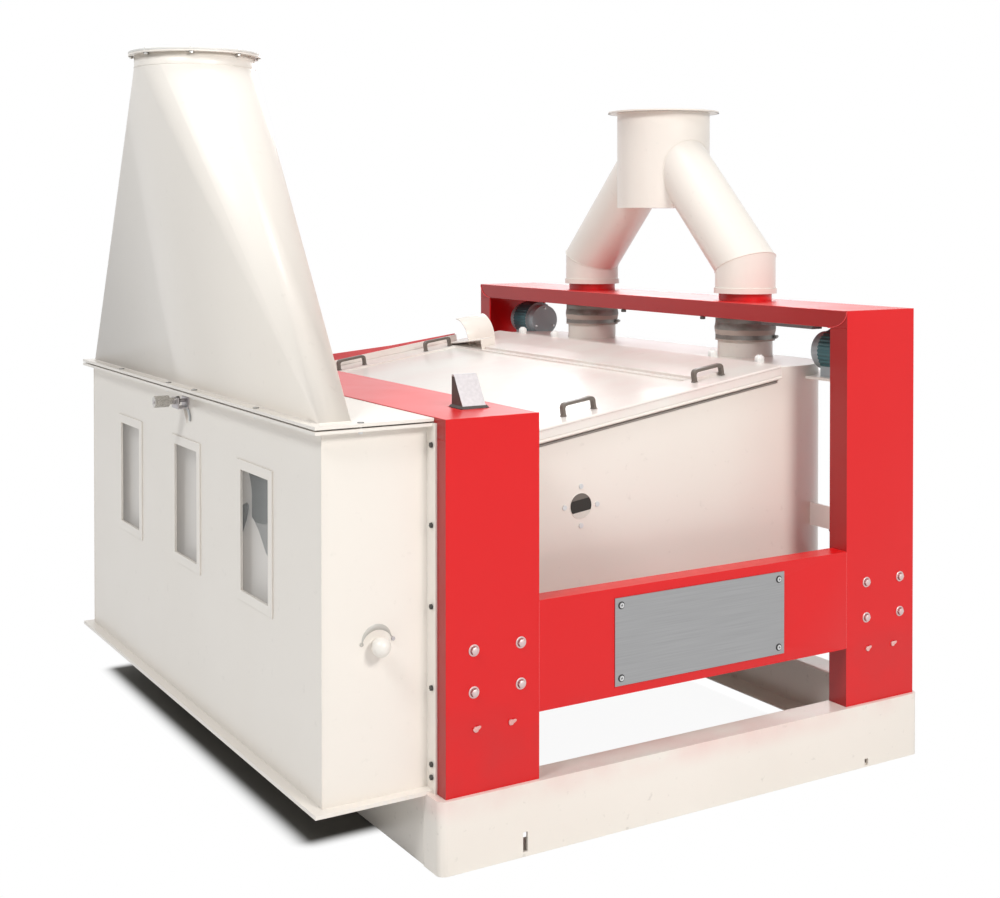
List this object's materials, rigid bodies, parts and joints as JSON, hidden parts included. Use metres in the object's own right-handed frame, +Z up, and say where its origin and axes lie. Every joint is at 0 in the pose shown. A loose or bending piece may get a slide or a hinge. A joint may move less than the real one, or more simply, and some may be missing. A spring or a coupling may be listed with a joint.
{
  "type": "rotary grain cleaner",
  "caption": "Grain cleaner: a red frame carries an inclined sieve housing with lid and wye inlet, and a cream aspiration channel with windows under a flat-to-round exhaust hood.",
  "frame": {"origin": "on the floor under the middle of the machine's box", "axes": "+X from the aspiration channel to the grain inlet, +Y across the sieves to the back, +Z up"},
  "size_m": [2.091, 2.118, 2.089],
  "materials": {
    "cream_paint": "gloss",
    "red_paint": "gloss",
    "grey_rubber": "matte",
    "black_rubber": "matte",
    "plate_steel": "brushed",
    "zinc_steel": "satin",
    "chrome": "polished",
    "white_plastic": "gloss",
    "grey_plastic": "matte",
    "clear_pane": "clear",
    "teal_paint": "satin",
    "grey_paint": "satin",
    "cast_weight": "matte"
  },
  "bodies": {
    "frame": {"base_beam_front": "cream_paint", "base_beam_back": "cream_paint", "base_cross_beams": "cream_paint", "column_outlet_front": "red_paint", "column_outlet_back": "red_paint", "column_inlet_front": "red_paint", "column_inlet_back": "red_paint", "portal_outlet": "red_paint", "portal_inlet": "red_paint", "side_beam_front": "red_paint", "side_beam_back": "red_paint", "nameplate": "plate_steel", "nameplate_screws": "zinc_steel", "column_bolts": "zinc_steel", "spring_brackets": "cream_paint", "rubber_springs": "black_rubber", "portal_necks": "red_paint", "wye_trunk": "cream_paint", "wye_leg_front": "cream_paint", "wye_leg_back": "cream_paint", "leg_collars": "cream_paint", "inlet_sleeves": "grey_rubber", "sleeve_clamps": "zinc_steel", "aspiration_shell": "cream_paint", "aspiration_cover": "cream_paint", "cover_gasket": "black_rubber", "rim_bolts": "zinc_steel", "window_frames": "cream_paint", "window_panes": "clear_pane", "partition": "cream_paint", "exhaust_hood": "cream_paint", "flange_bolts": "zinc_steel", "exhaust_cap": "cream_paint", "latch_bracket": "cream_paint"},
    "sieve": {"sieve_housing": "cream_paint", "hatch_screws": "zinc_steel", "inlet_spouts": "cream_paint", "fines_spout": "cream_paint", "housing_brackets": "cream_paint", "stop_plates": "grey_paint", "lid_rails": "cream_paint", "hold_down_studs": "zinc_steel", "upper_sieve_frame": "cream_paint", "upper_sieve_sheet": "plate_steel", "lower_sieve_frame": "cream_paint", "lower_sieve_sheet": "plate_steel", "deck_rails": "cream_paint", "motor_bodies": "teal_paint"},
    "lid": {"sieve_lid": "cream_paint", "lid_handles": "grey_plastic", "lid_hood": "cream_paint"},
    "rotor_front": {"motor_rotor_front": "cast_weight"},
    "rotor_back": {"motor_rotor_back": "cast_weight"},
    "flap": {"flap": "zinc_steel", "flap_knob": "white_plastic"},
    "latch": {"latch_grip": "chrome"},
    "hold_down_0": {"hold_down_0_knob": "white_plastic"},
    "hold_down_1": {"hold_down_1_knob": "white_plastic"},
    "hold_down_2": {"hold_down_2_knob": "white_plastic"},
    "hold_down_3": {"hold_down_3_knob": "white_plastic"}
  },
  "joints": [
    {"name": "sieve_throw", "type": "slide", "parent": "frame", "child": "sieve", "axis": [0.866, 0, 0.5], "range_m": [-0.003, 0.003], "stiffness_N_per_m": 2000000, "springref_m": 0.00148, "deforming": ["rubber_springs", "inlet_sleeves"]},
    {"name": "lid_lift", "type": "slide", "parent": "sieve", "child": "lid", "axis": [0, 0, 1], "range_m": [0, 0.25]},
    {"name": "rotor_front_spin", "type": "hinge", "parent": "sieve", "child": "rotor_front", "pos_m": [0.8675, -0.88, 1.188], "axis": [0, 1, 0], "continuous": true},
    {"name": "rotor_back_spin", "type": "hinge", "parent": "sieve", "child": "rotor_back", "pos_m": [0.8675, 0.88, 1.188], "axis": [0, 1, 0], "continuous": true},
    {"name": "flap_turn", "type": "hinge", "parent": "frame", "child": "flap", "pos_m": [-0.7435, 0, 0.562], "axis": [0, 1, 0], "range_deg": [-35, 35]},
    {"name": "latch_turn", "type": "hinge", "parent": "frame", "child": "latch", "pos_m": [-0.9455, 0, 1.062], "axis": [1, 0, 0], "continuous": true},
    {"name": "hold_down_0_turn", "type": "hinge", "parent": "sieve", "child": "hold_down_0", "pos_m": [0.6975, -0.69, 1.16], "axis": [0, 0, 1], "continuous": true},
    {"name": "hold_down_1_turn", "type": "hinge", "parent": "sieve", "child": "hold_down_1", "pos_m": [0.6975, -0.465, 1.16], "axis": [0, 0, 1], "continuous": true},
    {"name": "hold_down_2_turn", "type": "hinge", "parent": "sieve", "child": "hold_down_2", "pos_m": [0.6975, 0.465, 1.16], "axis": [0, 0, 1], "continuous": true},
    {"name": "hold_down_3_turn", "type": "hinge", "parent": "sieve", "child": "hold_down_3", "pos_m": [0.6975, 0.69, 1.16], "axis": [0, 0, 1], "continuous": true}
  ],
  "couplings": [
    {"joint": "rotor_back_spin", "follows": "rotor_front_spin", "ratio": -1}
  ]
}
